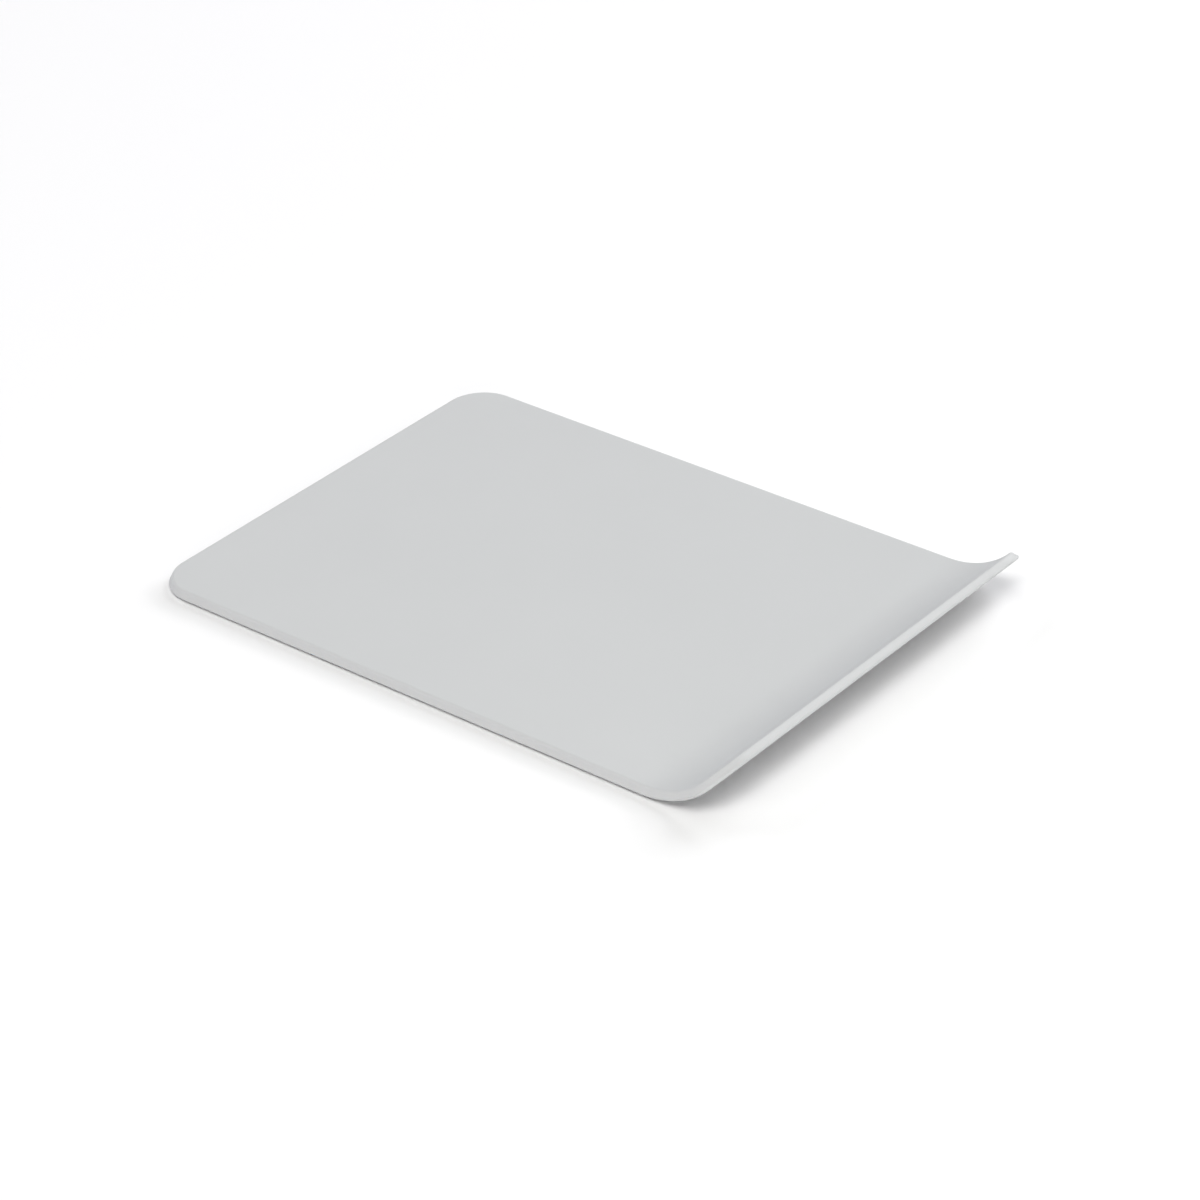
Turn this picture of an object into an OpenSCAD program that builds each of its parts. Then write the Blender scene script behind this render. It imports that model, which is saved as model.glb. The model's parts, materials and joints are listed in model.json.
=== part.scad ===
// Flexible cutting mat: one thick moulded sheet with rounded corners, a flat cutting face
// and one short end that turns up in an even curve to a lip. Soft round grip pads sit in
// pockets in the underside. +X runs along the mat towards the lip, +Y across it, +Z up.
// The origin is on the table, under the middle of the whole mat.
//
// The sheet is one moulding that bends. It is cut here into five panels that meet, a hair
// apart, at four bend lines. A bend line turns about the upper face, so the panels open
// from below and never run into each other while an end is lifted.

/* [Sheet] */
// Width across the foot of the side walls
mat_width = 270; // [220:1:340]
// Thickness of the sheet
sheet_thickness = 5.2; // [4.6:0.1:8]
// Corner radius in the flat sheet, at the foot of the walls
corner_radius = 24; // [14:0.5:36]
// How far the side walls lean out on their way down
wall_flare = 1.1; // [0:0.1:1.6]
// Rounding of the upper edge
top_edge_radius = 2; // [1:0.1:2.6]
// Rounding of the lower edge
base_edge_radius = 1.5; // [0.6:0.1:1.8]

/* [Bending] */
// Length of each of the five panels, from one bend line to the next
panel_length = 65.6; // [45:0.1:90]
// Gap between neighbouring panels at a bend line
panel_gap = 0.04; // [0.02:0.01:0.2]

/* [Lip] */
// Radius of the upward curve on the upper face
lip_radius = 52.5; // [35:0.5:90]
// Slope that the curve ends at, in degrees
lip_angle = 47.5; // [30:0.5:65]
// Straight run from the end of the curve to the lip's edge
lip_tip = 14.5; // [6:0.5:30]

/* [Grip pads] */
// Diameter of a pad
pad_diameter = 11; // [8:0.5:16]
// How far a pad stands out below the sheet
pad_height = 1.2; // [0.6:0.1:2.4]
// Depth of the pocket that holds a pad
pad_seat = 1.6; // [1:0.1:2.2]
// Bevel round the foot of a pad
pad_bevel = 0.3; // [0.1:0.05:0.4]
// Gap between a pad and the wall of its pocket
pad_gap = 0.05; // [0.02:0.01:0.1]
// Pads in each row across the mat
pad_rows = 4; // [2:1:5]
// From the side of the mat to the centre of the outer pads
pad_side_inset = 39; // [28:1:50]

/* [Hidden] */
$fn = 48;

corner_steps = 14;
lip_steps = 22;
edge_steps = 4;
clear_margin = 5;

// Lengths along the upper face, measured from the plain end. Panel 0 is the plain end.
panel_count = 5;
last_panel = panel_count - 1;
lip_foot = panel_count * panel_length;
curve_length = lip_radius * lip_angle * PI / 180;
curve_end = lip_foot + curve_length;
sheet_length = curve_end + lip_tip;

// Heights of the two faces of the flat stretch
underside = pad_height;
upper_face = underside + sheet_thickness;

// The mat's full length seen from above, out to the round of the lip's lower edge
overall_length = run(sheet_length) + (sheet_thickness - base_edge_radius) * sin(lip_angle)
    + base_edge_radius * (1 - cos(lip_angle));
plain_end_x = -overall_length / 2;

// Slope, run and rise of the upper face at the distance s from the plain end
function slope(s) = min(max(s - lip_foot, 0) / lip_radius * 180 / PI, lip_angle);
function run(s) = min(s, lip_foot) + lip_radius * sin(slope(s)) + max(s - curve_end, 0) * cos(lip_angle);
function rise(s) = lip_radius * (1 - cos(slope(s))) + max(s - curve_end, 0) * sin(lip_angle);

// A point of the flat sheet, carried to where the bent sheet has it
function bent(s, y, depth) = [
    plain_end_x + run(s) + depth * sin(slope(s)),
    y,
    upper_face + rise(s) - depth * cos(slope(s))
];

// Half of the sheet's outline, from the plain end round to the lip, as [s, y, normal s, normal y]
function corner_point(centre_s, angle) = [
    centre_s + corner_radius * cos(angle),
    mat_width / 2 - corner_radius + corner_radius * sin(angle),
    cos(angle),
    sin(angle)
];
lip_corner_s = sheet_length - corner_radius;
half_outline = [
    for (i = [0 : corner_steps]) corner_point(corner_radius, 180 - 90 * i / corner_steps),
    for (i = [0 : lip_steps - 1]) let (s = lip_foot + (lip_corner_s - lip_foot) * i / lip_steps)
        if (lip_corner_s > lip_foot) [s, mat_width / 2, 0, 1],
    for (i = [0 : corner_steps]) corner_point(lip_corner_s, 90 - 90 * i / corner_steps)
];
half_count = len(half_outline);
ring_count = 2 * half_count;

// The whole outline: along one side to the lip, and back along the other
outline = [
    for (p = half_outline) p,
    for (i = [half_count - 1 : -1 : 0]) let (p = half_outline[i]) [p[0], -p[1], p[2], -p[3]]
];

// The wall's section as [inset from the foot, depth below the upper face], from the top down
wall_section = [
    for (i = [0 : edge_steps]) let (a = 90 - 90 * i / edge_steps)
        [wall_flare + top_edge_radius * (1 - cos(a)), top_edge_radius * (1 - sin(a))],
    for (i = [0 : edge_steps]) let (a = 90 * i / edge_steps)
        [base_edge_radius * (1 - cos(a)), sheet_thickness - base_edge_radius * (1 - sin(a))]
];
last_ring = len(wall_section) - 1;

sheet_points = [
    for (w = wall_section) for (p = outline) bent(p[0] - p[2] * w[0], p[1] - p[3] * w[0], w[1])
];
sheet_faces = [
    // Upper face: one strip across the mat for each step of the outline
    for (i = [0 : half_count - 2]) [i, i + 1, ring_count - 2 - i, ring_count - 1 - i],
    // Walls and edge roundings
    for (k = [0 : last_ring - 1]) for (j = [0 : ring_count - 1]) let (next = (j + 1) % ring_count)
        [k * ring_count + j, (k + 1) * ring_count + j, (k + 1) * ring_count + next, k * ring_count + next],
    // Underside
    for (i = [0 : half_count - 2]) let (b = last_ring * ring_count)
        [b + ring_count - 1 - i, b + ring_count - 2 - i, b + i + 1, b + i]
];

// Where panel number index begins. Half a panel further on is the middle of the panel.
function panel_start(index) = plain_end_x + index * panel_length;

// Places of one panel's row of pads, half way between its bend lines
pad_span = mat_width - 2 * pad_side_inset;
function pad_places(index) = [
    for (row = [0 : pad_rows - 1])
        [panel_start(index + 0.5), -pad_span / 2 + pad_span * row / (pad_rows - 1)]
];

module whole_sheet() {
    polyhedron(points = sheet_points, faces = sheet_faces, convexity = 4);
}

// The stretch of space that one panel is cut from. It stops half a gap short of a bend line,
// and at the mat's two ends it runs past the sheet.
module panel_space(index) {
    low_x = index == 0 ? plain_end_x - clear_margin : panel_start(index) + panel_gap / 2;
    high_x = index == last_panel
        ? overall_length / 2 + clear_margin
        : panel_start(index + 1) - panel_gap / 2;
    translate([low_x, -mat_width / 2 - clear_margin, 0])
        cube([
            high_x - low_x,
            mat_width + 2 * clear_margin,
            upper_face + rise(sheet_length) + clear_margin
        ]);
}

// One panel of the sheet, with the pockets for its pads
module panel(index) {
    color([0.83, 0.84, 0.84])
    difference() {
        intersection() {
            whole_sheet();
            panel_space(index);
        }
        for (place = pad_places(index))
            translate([place[0], place[1], underside - clear_margin])
                cylinder(d = pad_diameter + 2 * pad_gap, h = pad_seat + clear_margin);
    }
}

// One pad: a disc with a bevelled foot, flush with the floor of its pocket
module pad() {
    radius = pad_diameter / 2;
    rotate_extrude()
        polygon([
            [0, 0],
            [radius - pad_bevel, 0],
            [radius, pad_bevel],
            [radius, pad_height + pad_seat],
            [0, pad_height + pad_seat]
        ]);
}

// The row of pads under one panel
module pads(index) {
    color([0.60, 0.62, 0.63])
    for (place = pad_places(index))
        translate([place[0], place[1], 0])
            pad();
}

module plain_end_panel() { panel(0); }
module plain_side_panel() { panel(1); }
module middle_panel() { panel(2); }
module lip_side_panel() { panel(3); }
module lip_end_panel() { panel(4); }

module plain_end_pads() { pads(0); }
module plain_side_pads() { pads(1); }
module middle_pads() { pads(2); }
module lip_side_pads() { pads(3); }
module lip_end_pads() { pads(4); }

plain_end_panel();
plain_side_panel();
middle_panel();
lip_side_panel();
lip_end_panel();
plain_end_pads();
plain_side_pads();
middle_pads();
lip_side_pads();
lip_end_pads();
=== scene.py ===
# %% [markdown]
# # A flexible cutting mat, dressed for the camera
#
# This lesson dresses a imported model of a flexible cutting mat: a single sheet of matte
# plastic, about five millimetres thick, with round corners and one end turned up to a lip.
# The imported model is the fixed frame. It says where the panels bend and where the grip
# pads sit, so every size that it can tell is read from it and not typed in again.

# %% Load the frame
import json
import math

import bmesh
import bpy
from mathutils import Matrix, Vector


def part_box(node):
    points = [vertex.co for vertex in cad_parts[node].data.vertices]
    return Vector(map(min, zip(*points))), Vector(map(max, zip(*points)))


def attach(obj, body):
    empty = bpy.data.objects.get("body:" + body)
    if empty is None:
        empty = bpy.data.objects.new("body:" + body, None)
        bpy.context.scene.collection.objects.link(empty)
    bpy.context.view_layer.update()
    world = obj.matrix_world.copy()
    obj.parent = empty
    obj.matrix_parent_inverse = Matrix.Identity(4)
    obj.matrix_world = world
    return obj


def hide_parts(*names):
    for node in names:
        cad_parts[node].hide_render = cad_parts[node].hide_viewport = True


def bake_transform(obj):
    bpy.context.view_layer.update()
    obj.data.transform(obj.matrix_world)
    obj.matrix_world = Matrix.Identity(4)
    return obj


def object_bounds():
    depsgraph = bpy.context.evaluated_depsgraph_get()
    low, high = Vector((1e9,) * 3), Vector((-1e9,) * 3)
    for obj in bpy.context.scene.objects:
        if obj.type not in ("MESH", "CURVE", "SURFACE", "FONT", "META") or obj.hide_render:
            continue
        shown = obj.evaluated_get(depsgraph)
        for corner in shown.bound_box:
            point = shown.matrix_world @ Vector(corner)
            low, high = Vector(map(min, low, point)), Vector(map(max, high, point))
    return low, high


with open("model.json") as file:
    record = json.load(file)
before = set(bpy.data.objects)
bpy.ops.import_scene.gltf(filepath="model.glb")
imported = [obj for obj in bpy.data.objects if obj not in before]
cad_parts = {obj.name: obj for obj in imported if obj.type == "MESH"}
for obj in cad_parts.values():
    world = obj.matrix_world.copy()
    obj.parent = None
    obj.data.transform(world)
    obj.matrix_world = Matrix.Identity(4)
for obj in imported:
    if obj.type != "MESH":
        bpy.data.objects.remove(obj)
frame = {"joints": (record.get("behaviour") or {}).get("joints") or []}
cad_low, cad_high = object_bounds()
print("packed model, lowest and highest corner:", tuple(cad_low), tuple(cad_high))

# %% [markdown]
# The sheet is five panels that turn about four bend lines. The places of the lines come
# from the joints, and the heights of the sheet's two faces from the box of the middle panel.

# %% Read the sheet's layout
bend_lines = sorted(joint["pos_m"][0] for joint in frame["joints"])
panel_count = len(bend_lines) + 1
panel_length = bend_lines[1] - bend_lines[0]
panel_middles = [bend_lines[0] + (panel - 0.5) * panel_length for panel in range(panel_count)]
lip_foot_x = bend_lines[-1] + panel_length

plain_end_x = cad_low.x
mat_width = cad_high.y - cad_low.y
underside_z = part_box("middle_panel")[0].z
upper_face_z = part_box("middle_panel")[1].z
thickness = upper_face_z - underside_z
print(f"sheet {thickness * 1000:.2f} mm thick, panels {panel_length * 1000:.2f} mm long")

# %% [markdown]
# The frame's boxes can't tell how an edge is rounded or how the lip curves. These sizes are
# the mat's own, the same ones that its panels were drawn from, in metres and degrees.

# %% Sizes that the frame can't tell
corner_radius = 0.024
wall_flare = 0.0011
top_edge_radius = 0.0020
base_edge_radius = 0.0015
lip_radius = 0.0525
lip_angle = math.radians(47.5)
lip_tip = 0.0145

lip_foot = lip_foot_x - plain_end_x
curve_length = lip_radius * lip_angle
sheet_length = lip_foot + curve_length + lip_tip
print(f"flat, the sheet would be {sheet_length * 1000:.1f} mm long")

# %% [markdown]
# ## The camera
#
# A long lens from a little over two metres keeps the mat's sides nearly parallel. The
# camera is placed by its direction from the mat, as a photographer would say it: so far
# round to the right, so high above the table, and tipped a little.

# %% Camera
lens_mm = 120.8
camera_azimuth = math.radians(39.25)
camera_elevation = math.radians(31.49)
camera_roll = math.radians(-1.55)
camera_distance = 2.1157
aim_point = Vector((0.0103, -0.0034, 0.00083))


def facing_axes(azimuth, elevation, roll):
    """Right, up and back directions, as columns, of a camera or light that faces the mat."""
    back = Vector((
        math.sin(azimuth) * math.cos(elevation),
        -math.cos(azimuth) * math.cos(elevation),
        math.sin(elevation),
    ))
    right = Vector((math.cos(azimuth), math.sin(azimuth), 0.0))
    up = back.cross(right)
    level = Matrix((right, up, back)).transposed()
    return level @ Matrix.Rotation(roll, 3, "Z")


camera_data = bpy.data.cameras.new("product_camera")
camera_data.lens = lens_mm
camera_data.clip_start = 0.1
camera_data.clip_end = 50.0
camera = bpy.data.objects.new("product_camera", camera_data)
axes = facing_axes(camera_azimuth, camera_elevation, camera_roll)
camera_place = aim_point + axes.col[2] * camera_distance
camera.matrix_world = Matrix.Translation(camera_place) @ axes.to_4x4()
bpy.context.scene.collection.objects.link(camera)
bpy.context.scene.camera = camera
print("camera stands at", [round(value, 3) for value in camera.matrix_world.translation])

# %% [markdown]
# ## Helpers for node trees
#
# Both the materials and the Geometry Nodes below are trees built in code. One short helper
# adds a node, sets what it is asked to, and links each input that is given another socket.

# %% A node helper


def add_node(tree, kind, inputs=None, **settings):
    """A new node with its settings, and with a value or a link at each named input."""
    made = tree.nodes.new(kind)
    for name, value in settings.items():
        setattr(made, name, value)
    for name, value in (inputs or {}).items():
        if isinstance(value, bpy.types.NodeSocket):
            tree.links.new(value, made.inputs[name])
        else:
            made.inputs[name].default_value = value
    return made


# %% [markdown]
# A formula of many Math nodes is hard to read as a list of links. This small class lets
# the formula be written as one: each plus, minus or times adds a Math node to the tree.

# %% Arithmetic on sockets


class Field:
    """A number in a node tree, with arithmetic that adds Math nodes."""

    def __init__(self, tree, socket):
        self.tree = tree
        self.socket = socket

    def apply(self, operation, *others):
        made = self.tree.nodes.new("ShaderNodeMath")
        made.operation = operation
        for place, value in enumerate((self, *others)):
            if isinstance(value, Field):
                self.tree.links.new(value.socket, made.inputs[place])
            else:
                made.inputs[place].default_value = value
        return Field(self.tree, made.outputs[0])

    def __add__(self, other):
        return self.apply("ADD", other)

    def __sub__(self, other):
        return self.apply("SUBTRACT", other)

    def __mul__(self, other):
        return self.apply("MULTIPLY", other)

    def __truediv__(self, other):
        return self.apply("DIVIDE", other)


# %% [markdown]
# ## Materials
#
# The sheet is a soft plastic moulded against a finely blasted steel face. Seen from two
# metres it is one even pale grey, and close by it has a grain of a few tenths of a
# millimetre. A flat colour would look like paper, so the tree has three scales: the grain
# as a bump, a slow unevenness in the roughness, and a faint drift in the tone.

# %% Moulded plastic


def colour_range(tree, factor, low, high):
    """A colour that goes from low to high as the factor goes from 0 to 1."""
    mix = add_node(tree, "ShaderNodeMix", {"Factor": factor}, data_type="RGBA")
    mix.inputs["A"].default_value = (*low, 1.0)
    mix.inputs["B"].default_value = (*high, 1.0)
    return mix.outputs["Result"]


def surface_noise(tree, size, detail=2.0, roughness=0.5):
    """Noise on the piece's own coordinates, with features of about this size in metres."""
    place = add_node(tree, "ShaderNodeTexCoord").outputs["Object"]
    noise = add_node(
        tree,
        "ShaderNodeTexNoise",
        {"Vector": place, "Scale": 1.0 / size, "Detail": detail, "Roughness": roughness},
    )
    return noise.outputs["Fac"]


def moulded_plastic():
    material = bpy.data.materials.new("moulded_matte_plastic")
    material.use_nodes = True
    tree = material.node_tree
    shader = tree.nodes["Principled BSDF"]

    tone = surface_noise(tree, size=0.09, detail=1.0)
    colour = colour_range(tree, tone, low=(0.566, 0.576, 0.578), high=(0.580, 0.590, 0.592))
    tree.links.new(colour, shader.inputs["Base Color"])

    patches = surface_noise(tree, size=0.012, detail=3.0)
    roughness = add_node(
        tree,
        "ShaderNodeMapRange",
        {"Value": patches, "From Min": 0.3, "From Max": 0.7, "To Min": 0.56, "To Max": 0.64},
    )
    tree.links.new(roughness.outputs["Result"], shader.inputs["Roughness"])

    fine_grain = surface_noise(tree, size=0.00035, detail=2.0)
    coarse_grain = surface_noise(tree, size=0.0011, detail=1.0)
    grain = Field(tree, fine_grain) * 0.7 + Field(tree, coarse_grain) * 0.3
    bump = add_node(
        tree,
        "ShaderNodeBump",
        {"Height": grain.socket, "Strength": 0.25, "Distance": 0.00006},
    )
    tree.links.new(bump.outputs["Normal"], shader.inputs["Normal"])

    shader.inputs["Specular IOR Level"].default_value = 0.4
    return material


sheet_plastic = moulded_plastic()
print("material:", sheet_plastic.name, "with", len(sheet_plastic.node_tree.nodes), "nodes")

# %% [markdown]
# The grip pads are a softer, darker rubber. Their grain is coarser and they are a little
# duller, as thermoplastic rubber is when it leaves the mould.

# %% Pad rubber


def soft_rubber():
    material = bpy.data.materials.new("soft_grip_rubber")
    material.use_nodes = True
    tree = material.node_tree
    shader = tree.nodes["Principled BSDF"]

    dust = surface_noise(tree, size=0.004, detail=4.0, roughness=0.6)
    colour = colour_range(tree, dust, low=(0.30, 0.31, 0.32), high=(0.36, 0.37, 0.38))
    tree.links.new(colour, shader.inputs["Base Color"])

    grain = surface_noise(tree, size=0.0005, detail=3.0)
    bump = add_node(
        tree,
        "ShaderNodeBump",
        {"Height": grain, "Strength": 0.4, "Distance": 0.0001},
    )
    tree.links.new(bump.outputs["Normal"], shader.inputs["Normal"])
    shader.inputs["Roughness"].default_value = 0.75
    shader.inputs["Specular IOR Level"].default_value = 0.35
    return material


pad_rubber = soft_rubber()
print("material:", pad_rubber.name, "with", len(pad_rubber.node_tree.nodes), "nodes")

# %% [markdown]
# ## The flat sheet
#
# The mat is drawn flat first, as if the lip had not been turned up. Along the sheet the
# drawing runs in x, across it in y, and z is the depth below the upper face. It has three
# parts: the outline with its corner arcs, the section of the side wall, and the two faces.
#
# The sheet is cut into lengths at the middles of the inner panels, because a piece can bend
# about one line only. Each length holds one bend line in its middle.

# %% Stations along the outline
corner_steps = 20
row_spacing = 0.0025
print(f"corner arcs in {corner_steps} steps, rows {row_spacing * 1000:.1f} mm apart")


def stations(start, stop):
    """Places along the sheet as (s, y, normal s, normal y), for the side where y is positive.

    A length that starts at the plain end or stops at the lip turns through its corner arc.
    """
    half_width = mat_width / 2
    round_start = start <= 0.0
    round_stop = stop >= sheet_length
    straight_from = start + (corner_radius if round_start else 0.0)
    straight_to = stop - (corner_radius if round_stop else 0.0)

    def on_arc(centre, angle):
        reach = half_width - corner_radius + corner_radius * math.sin(angle)
        return centre + corner_radius * math.cos(angle), reach, math.cos(angle), math.sin(angle)

    quarter = [math.pi / 2 * step / corner_steps for step in range(corner_steps)]
    arc_in = [on_arc(straight_from, math.pi - angle) for angle in quarter] if round_start else []
    arc_out = [on_arc(straight_to, angle) for angle in reversed(quarter)] if round_stop else []

    span = straight_to - straight_from
    steps = math.ceil(span / row_spacing)
    straight = [
        (straight_from + span * step / steps, half_width, 0.0, 1.0) for step in range(steps + 1)
    ]
    return arc_in + straight + arc_out


# %% [markdown]
# The wall leans out on its way down, so its foot is the widest part of the mat. The section
# starts a little way in on the upper face, rounds the edge, runs down the wall, rounds the
# lower edge and ends a little way in on the underside. The short flat runs at both ends hold
# the shading of the two faces flat right up to the roundings.

# %% Section of the wall
edge_steps = 7
flat_run = 0.0006


def wall_section():
    """The wall as (inset from the foot, depth below the upper face), from the top down."""
    quarter = [math.pi / 2 * step / edge_steps for step in range(edge_steps + 1)]
    upper = [
        (
            wall_flare + top_edge_radius * (1 - math.sin(angle)),
            top_edge_radius * (1 - math.cos(angle)),
        )
        for angle in quarter
    ]
    lower = [
        (
            base_edge_radius * (1 - math.cos(angle)),
            thickness - base_edge_radius * (1 - math.sin(angle)),
        )
        for angle in quarter
    ]
    first = (upper[0][0] + flat_run, 0.0)
    last = (lower[-1][0] + flat_run, thickness)
    return [first, *upper, *lower, last]


section = wall_section()
print("wall section:", len(section), "points")

# %% [markdown]
# Each face is a grid of rows across the mat. The wall joins the grids' rims, ring by ring.
# Where a length was cut from its neighbour it is closed by one flat face.

# %% Mesh of one length of the flat sheet
columns = 16
print("each row across the mat has", columns + 1, "vertices")


def face_grid(mesh, places, inset, depth):
    """Rows of vertices across the mat, drawn in from the outline by the inset."""
    rows = []
    for s, y, normal_s, normal_y in places:
        row_s = s - normal_s * inset
        reach = y - normal_y * inset
        spread = [1 - 2 * column / columns for column in range(columns + 1)]
        rows.append([mesh.verts.new((row_s, reach * share, -depth)) for share in spread])
    for first, second in zip(rows, rows[1:]):
        for left in range(columns):
            corners = (first[left], second[left], second[left + 1], first[left + 1])
            mesh.faces.new(corners if depth > 0 else reversed(corners))
    return rows


def rim_of(rows, closed_start, closed_stop):
    """The grid's outer vertices in order, as runs that the wall follows."""
    side_a = [row[0] for row in rows]
    side_b = [row[-1] for row in reversed(rows)]
    if closed_start:
        return [side_b + rows[0][-2:0:-1] + side_a]
    if closed_stop:
        return [side_a + rows[-1][1:-1] + side_b]
    return [side_a, side_b]


# %% [markdown]
# The walls need to know which way is out at each rim vertex. Along a side that is known from
# the station, and along a straight end it is simply the end's direction.

# %% Walls and cut faces


def outward(places, closed_start, closed_stop):
    """The outline's normals, in the same order as the runs of the rim."""
    side_a = [Vector((normal_s, normal_y, 0.0)) for _, _, normal_s, normal_y in places]
    side_b = [Vector((normal_s, -normal_y, 0.0)) for _, _, normal_s, normal_y in reversed(places)]
    if closed_start:
        return [side_b + [Vector((-1.0, 0.0, 0.0))] * (columns - 1) + side_a]
    if closed_stop:
        return [side_a + [Vector((1.0, 0.0, 0.0))] * (columns - 1) + side_b]
    return [side_a, side_b]


def build_wall(mesh, top_run, base_run, normals):
    """Faces from the upper grid's rim, ring by ring down the section, to the lower grid's rim."""
    first_inset = section[0][0]
    rings = [top_run]
    for inset, depth in section[1:-1]:
        drop = Vector((0.0, 0.0, -depth))
        rings.append([
            mesh.verts.new(vert.co + normal * (first_inset - inset) + drop)
            for vert, normal in zip(top_run, normals)
        ])
    rings.append(base_run)
    for upper, lower in zip(rings, rings[1:]):
        for place in range(len(upper) - 1):
            mesh.faces.new((upper[place], upper[place + 1], lower[place + 1], lower[place]))


def flat_length(name, start, stop):
    """One length of the flat sheet, closed all round."""
    closed_start = start <= 0.0
    closed_stop = stop >= sheet_length
    places = stations(start, stop)
    mesh = bmesh.new()
    top_rows = face_grid(mesh, places, section[0][0], 0.0)
    base_rows = face_grid(mesh, places, section[-1][0], thickness)
    runs = zip(
        rim_of(top_rows, closed_start, closed_stop),
        rim_of(base_rows, closed_start, closed_stop),
        outward(places, closed_start, closed_stop),
    )
    for top_run, base_run, normals in runs:
        build_wall(mesh, top_run, base_run, normals)
    open_edges = [edge for edge in mesh.edges if edge.is_boundary]
    bmesh.ops.holes_fill(mesh, edges=open_edges, sides=0)
    bmesh.ops.recalc_face_normals(mesh, faces=mesh.faces)
    data = bpy.data.meshes.new(name)
    mesh.to_mesh(data)
    mesh.free()
    piece = bpy.data.objects.new(name, data)
    bpy.context.scene.collection.objects.link(piece)
    return piece


# %% [markdown]
# ## Turning up the lip
#
# On the real mat the lip comes out of the mould already curved, with the walls and round
# edges following the curve. Bending the flat drawing gives just that. Geometry Nodes suit
# it well, because the bend is one rule for every point: stay flat up to the lip's foot, then
# follow an arc, then run straight to the edge.

# %% Tree inputs


def new_tree(name, sizes):
    """A Geometry Nodes tree: geometry in, a number for each size and a material, geometry out."""
    tree = bpy.data.node_groups.new(name, "GeometryNodeTree")
    tree.interface.new_socket("Geometry", in_out="INPUT", socket_type="NodeSocketGeometry")
    for size in sizes:
        tree.interface.new_socket(size, in_out="INPUT", socket_type="NodeSocketFloat")
    tree.interface.new_socket("Material", in_out="INPUT", socket_type="NodeSocketMaterial")
    tree.interface.new_socket("Geometry", in_out="OUTPUT", socket_type="NodeSocketGeometry")
    return tree


def bake(piece, tree, values):
    """Runs a tree on a piece with the named inputs set, and keeps the result as a plain mesh."""
    modifier = piece.modifiers.new(tree.name, "NODES")
    modifier.node_group = tree
    for socket in tree.interface.items_tree:
        if socket.in_out == "INPUT" and socket.name in values:
            modifier[socket.identifier] = values[socket.name]
    evaluated = piece.evaluated_get(bpy.context.evaluated_depsgraph_get())
    baked = bpy.data.meshes.new_from_object(evaluated)
    piece.modifiers.remove(modifier)
    piece.data = baked
    return piece


# %% [markdown]
# The bend is written with the same letters as on paper: s along the flat sheet, the slope
# reached at s, and the depth below the upper face, which swings under the arc as it turns.

# %% The bending tree


def lip_tree():
    tree = new_tree("turn_up_the_lip", ["Plain end", "Upper face", "Foot", "Radius", "Angle"])
    given = add_node(tree, "NodeGroupInput")
    place = add_node(tree, "GeometryNodeInputPosition").outputs["Position"]
    flat = add_node(tree, "ShaderNodeSeparateXYZ", {"Vector": place})

    def sized(name):
        return Field(tree, given.outputs[name])

    s = Field(tree, flat.outputs["X"])
    height = Field(tree, flat.outputs["Z"])
    radius = sized("Radius")
    past_foot = s - sized("Foot")
    along_curve = past_foot.apply("MAXIMUM", 0.0).apply("MINIMUM", radius * sized("Angle"))
    past_curve = (past_foot - radius * sized("Angle")).apply("MAXIMUM", 0.0)
    slope = along_curve / radius
    sine = slope.apply("SINE")
    cosine = slope.apply("COSINE")

    run = s.apply("MINIMUM", sized("Foot")) + radius * sine + past_curve * cosine
    rise = radius - radius * cosine + past_curve * sine
    x = sized("Plain end") + run - height * sine
    z = sized("Upper face") + rise + height * cosine

    bent = add_node(
        tree,
        "ShaderNodeCombineXYZ",
        {"X": x.socket, "Y": flat.outputs["Y"], "Z": z.socket},
    )
    moved = add_node(
        tree,
        "GeometryNodeSetPosition",
        {"Geometry": given.outputs["Geometry"], "Position": bent.outputs["Vector"]},
    )
    finish_tree(tree, given, moved.outputs["Geometry"])
    return tree


def finish_tree(tree, given, geometry, sharp_from=math.radians(35)):
    """Real geometry for any instances, smooth shading with sharp edges kept, and the material."""
    real = add_node(tree, "GeometryNodeRealizeInstances", {"Geometry": geometry})
    smooth = add_node(tree, "GeometryNodeSetShadeSmooth", {"Geometry": real.outputs["Geometry"]})
    angle = Field(tree, add_node(tree, "GeometryNodeInputMeshEdgeAngle").outputs["Unsigned Angle"])
    marked = add_node(
        tree,
        "GeometryNodeStoreNamedAttribute",
        {
            "Geometry": smooth.outputs["Geometry"],
            "Name": "sharp_edge",
            "Value": angle.apply("GREATER_THAN", sharp_from).socket,
        },
        data_type="BOOLEAN",
        domain="EDGE",
    )
    painted = add_node(
        tree,
        "GeometryNodeSetMaterial",
        {"Geometry": marked.outputs["Geometry"], "Material": given.outputs["Material"]},
    )
    add_node(tree, "NodeGroupOutput", {"Geometry": painted.outputs["Geometry"]})


turn_up = lip_tree()
print("bending tree:", len(turn_up.nodes), "nodes")

# %% [markdown]
# ## The four lengths of the sheet
#
# Each length is drawn flat, bent and baked, and the frame's two panels that it lies over are
# hidden. The lengths are not tied to those panels, so they stay as they are when the panels
# turn. A smooth turn about each bend line, over a bit more than half of a panel, is worked
# out but not used: over less the sheet would look folded, and over more it would ripple,
# because its points turn about the line and not on an arc.

# %% Make the lengths
bodies = ["plain_end", "plain_side", "middle", "lip_side", "lip_end"]
names = ["sheet_plain_end", "sheet_plain_side", "sheet_lip_side", "sheet_lip_end"]
cuts = [0.0, *(middle - plain_end_x for middle in panel_middles[1:-1]), sheet_length]
turn_share = 0.6
turn_reach = panel_length * turn_share / 2

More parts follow.
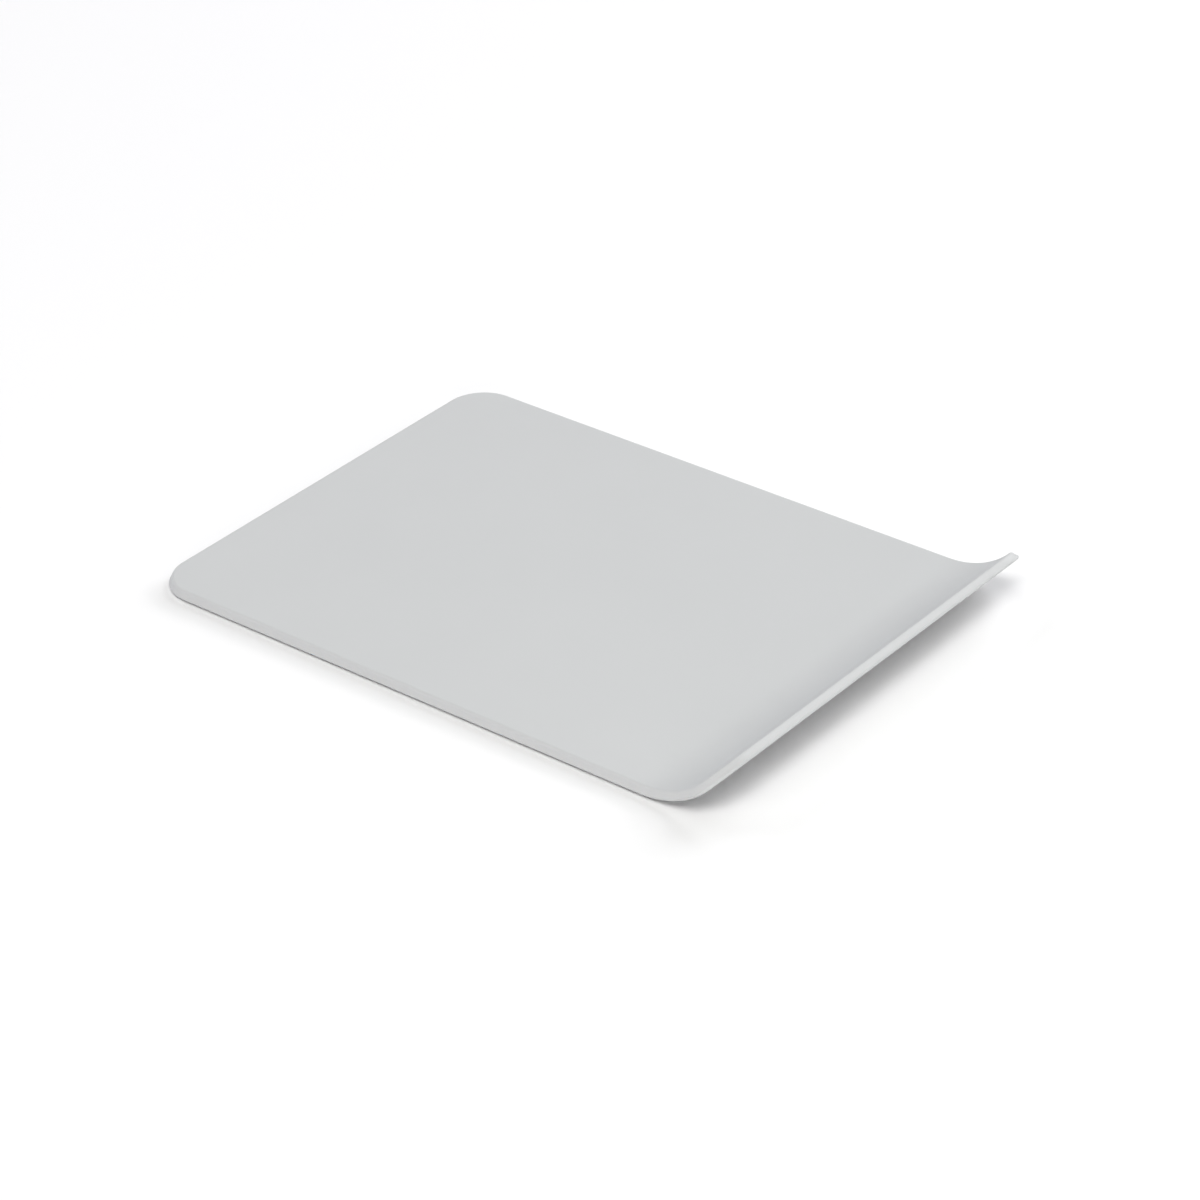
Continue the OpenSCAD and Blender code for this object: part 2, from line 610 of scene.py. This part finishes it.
for order, name in enumerate(names):
    first_body, second_body = bodies[order : order + 2]
    piece = flat_length(name, cuts[order], cuts[order + 1])
    bake(
        piece,
        turn_up,
        {
            "Plain end": plain_end_x,
            "Upper face": upper_face_z,
            "Foot": lip_foot,
            "Radius": lip_radius,
            "Angle": lip_angle,
            "Material": sheet_plastic,
        },
    )
    bend_lines[order] - turn_reach
    bend_lines[order] + turn_reach
    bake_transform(piece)
    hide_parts(first_body + "_panel", second_body + "_panel")
    print(name, "has", len(piece.data.polygons), "faces")

# %% [markdown]
# ## The grip pads
#
# The pads are soft discs pressed into shallow pockets, and only their feet stand out. A pad
# fills its pocket to within a hair, so the pockets are not cut from the dressed sheet. One
# pad is turned like a bowl on a lathe. A row of points across the mat then carries a copy
# each, and every panel of the mat gets its own row.

# %% One pad
pad_segments = 40
foot_rounding = 0.0003
foot_steps = 4
print(f"pads of {pad_segments} segments, foot rounded by {foot_rounding * 1000:.1f} mm")


def turned_pad(radius, height):
    """A disc with a rounded foot, turned about its own upright axis, foot down."""
    quarter = [math.pi / 2 * step / foot_steps for step in range(foot_steps + 1)]
    profile = [
        (radius - foot_rounding * (1 - math.sin(angle)), foot_rounding * (1 - math.cos(angle)))
        for angle in quarter
    ]
    profile.append((radius, height))
    mesh = bmesh.new()
    rings = [
        [
            mesh.verts.new((
                reach * math.cos(2 * math.pi * turn / pad_segments),
                reach * math.sin(2 * math.pi * turn / pad_segments),
                z,
            ))
            for turn in range(pad_segments)
        ]
        for reach, z in profile
    ]
    for lower, upper in zip(rings, rings[1:]):
        for turn in range(pad_segments):
            following = (turn + 1) % pad_segments
            mesh.faces.new((lower[turn], lower[following], upper[following], upper[turn]))
    mesh.faces.new(reversed(rings[0]))
    mesh.faces.new(rings[-1])
    data = bpy.data.meshes.new("turned_pad")
    mesh.to_mesh(data)
    mesh.free()
    return data


# %% [markdown]
# The tree takes the pad as its geometry, draws a line of points across the mat and sets a
# copy on each. The size of each row comes from the box of the row in the frame.

# %% The row of pads


def pad_row_tree(count):
    tree = new_tree("row_of_pads", ["Place", "First", "Spacing"])
    given = add_node(tree, "NodeGroupInput")
    start = add_node(
        tree,
        "ShaderNodeCombineXYZ",
        {"X": given.outputs["Place"], "Y": given.outputs["First"]},
    )
    step = add_node(tree, "ShaderNodeCombineXYZ", {"Y": given.outputs["Spacing"]})
    line = add_node(
        tree,
        "GeometryNodeMeshLine",
        {
            "Count": count,
            "Start Location": start.outputs["Vector"],
            "Offset": step.outputs["Vector"],
        },
    )
    copies = add_node(
        tree,
        "GeometryNodeInstanceOnPoints",
        {"Points": line.outputs["Mesh"], "Instance": given.outputs["Geometry"]},
    )
    finish_tree(tree, given, copies.outputs["Instances"])
    return tree


pads_in_a_row = 4
pad_tree = pad_row_tree(pads_in_a_row)

for body in bodies:
    low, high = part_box(body + "_pads")
    pad_radius = (high.x - low.x) / 2
    first_y = low.y + pad_radius
    spacing = (high.y - low.y - 2 * pad_radius) / (pads_in_a_row - 1)
    row = bpy.data.objects.new("grip_pads_" + body, turned_pad(pad_radius, high.z - low.z))
    bpy.context.scene.collection.objects.link(row)
    bake(
        row,
        pad_tree,
        {
            "Place": low.x + pad_radius,
            "First": first_y,
            "Spacing": spacing,
            "Material": pad_rubber,
        },
    )
    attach(row, body)
    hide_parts(body + "_pads")
    print(row.name, "has", len(row.data.polygons), "faces")

# %% [markdown]
# ## The studio
#
# The mat lies on white paper under broad, soft light, so its shadow is only a soft dark
# line at its foot and a pool under the lip. The paper is one large flat square.

# %% Floor
floor_size = 12.0
floor_tone = 0.93


def studio_floor():
    data = bpy.data.meshes.new("studio_floor")
    reach = floor_size / 2
    corners = [(-1, -1), (1, -1), (1, 1), (-1, 1)]
    data.from_pydata([(x * reach, y * reach, 0.0) for x, y in corners], [], [(0, 1, 2, 3)])
    floor = bpy.data.objects.new("studio_floor", data)
    bpy.context.scene.collection.objects.link(floor)
    material = bpy.data.materials.new("white_paper")
    material.use_nodes = True
    shader = material.node_tree.nodes["Principled BSDF"]
    shader.inputs["Base Color"].default_value = (floor_tone, floor_tone, floor_tone, 1.0)
    shader.inputs["Roughness"].default_value = 0.9
    shader.inputs["Specular IOR Level"].default_value = 0.0
    data.materials.append(material)
    return floor


paper = studio_floor()
print("floor:", paper.name, f"{floor_size:.0f} m across")

# %% [markdown]
# All the light comes from soft boxes that face the mat. Each is placed by its direction, as
# the camera is: azimuth 0 is in front of the mat's near side, 90 beside the lip and 180
# behind. The boxes behind the mat keep its foot dark in front, the low one in front lights
# the walls, and the small near one makes the near corner a little brighter than the far one.
# The boxes differ slightly in colour, as lamps do: cooler behind and warmer in front.

# %% Lights
wide = {"distance": 6.0, "width": 4.0, "height": 1.8}
square = {"distance": 6.0, "width": 2.4, "height": 2.4}
small = {"distance": 1.1, "width": 0.7, "height": 0.7}

# name, shape, azimuth, elevation, watts, colour
boxes = [
    ("key", square, 40, 56, 181.3, (1.0, 0.986, 0.986)),
    ("front_low", wide, 45, 10, 100.2, (1.0, 0.964, 0.981)),
    ("front", wide, 0, 44, 60.6, (1.0, 0.974, 0.966)),
    ("right_back", wide, 158, 18, 140.4, (1.0, 0.994, 0.993)),
    ("back_low", wide, 180, 26, 96.9, (0.970, 0.973, 1.0)),
    ("back_high", wide, 180, 44, 89.5, (0.955, 0.967, 1.0)),
    ("left_low", wide, 270, 10, 70.8, (0.906, 0.893, 1.0)),
    ("left_high", wide, 270, 44, 68.4, (0.974, 0.974, 1.0)),
    ("near_top", small, 40, 65, 0.65, (0.831, 1.0, 0.719)),
]


def light_box(name, shape, azimuth, elevation, watts, colour):
    data = bpy.data.lights.new(name, "AREA")
    data.shape = "RECTANGLE"
    data.size = shape["width"]
    data.size_y = shape["height"]
    data.energy = watts
    data.color = colour
    light = bpy.data.objects.new(name, data)
    axes = facing_axes(math.radians(azimuth), math.radians(elevation), 0.0)
    light.matrix_world = Matrix.Translation(axes.col[2] * shape["distance"]) @ axes.to_4x4()
    bpy.context.scene.collection.objects.link(light)


for box in boxes:
    light_box(*box)
print("soft boxes:", len(boxes))

# %% [markdown]
# The surround is white where the camera sees it and gives no light of its own, since light
# from all round would wash out the shadow under the lip. The view transform is the plain
# one, so that the paper comes out white and the mat keeps the tone of its material.

# %% Surround
world = bpy.data.worlds.new("white_surround")
world.use_nodes = True
background = world.node_tree.nodes["Background"]
background.inputs["Color"].default_value = (1.0, 1.0, 1.0, 1.0)
seen = add_node(world.node_tree, "ShaderNodeLightPath").outputs["Is Camera Ray"]
world.node_tree.links.new(seen, background.inputs["Strength"])
bpy.context.scene.world = world
bpy.context.scene.view_settings.view_transform = "Standard"
print("surround:", world.name)
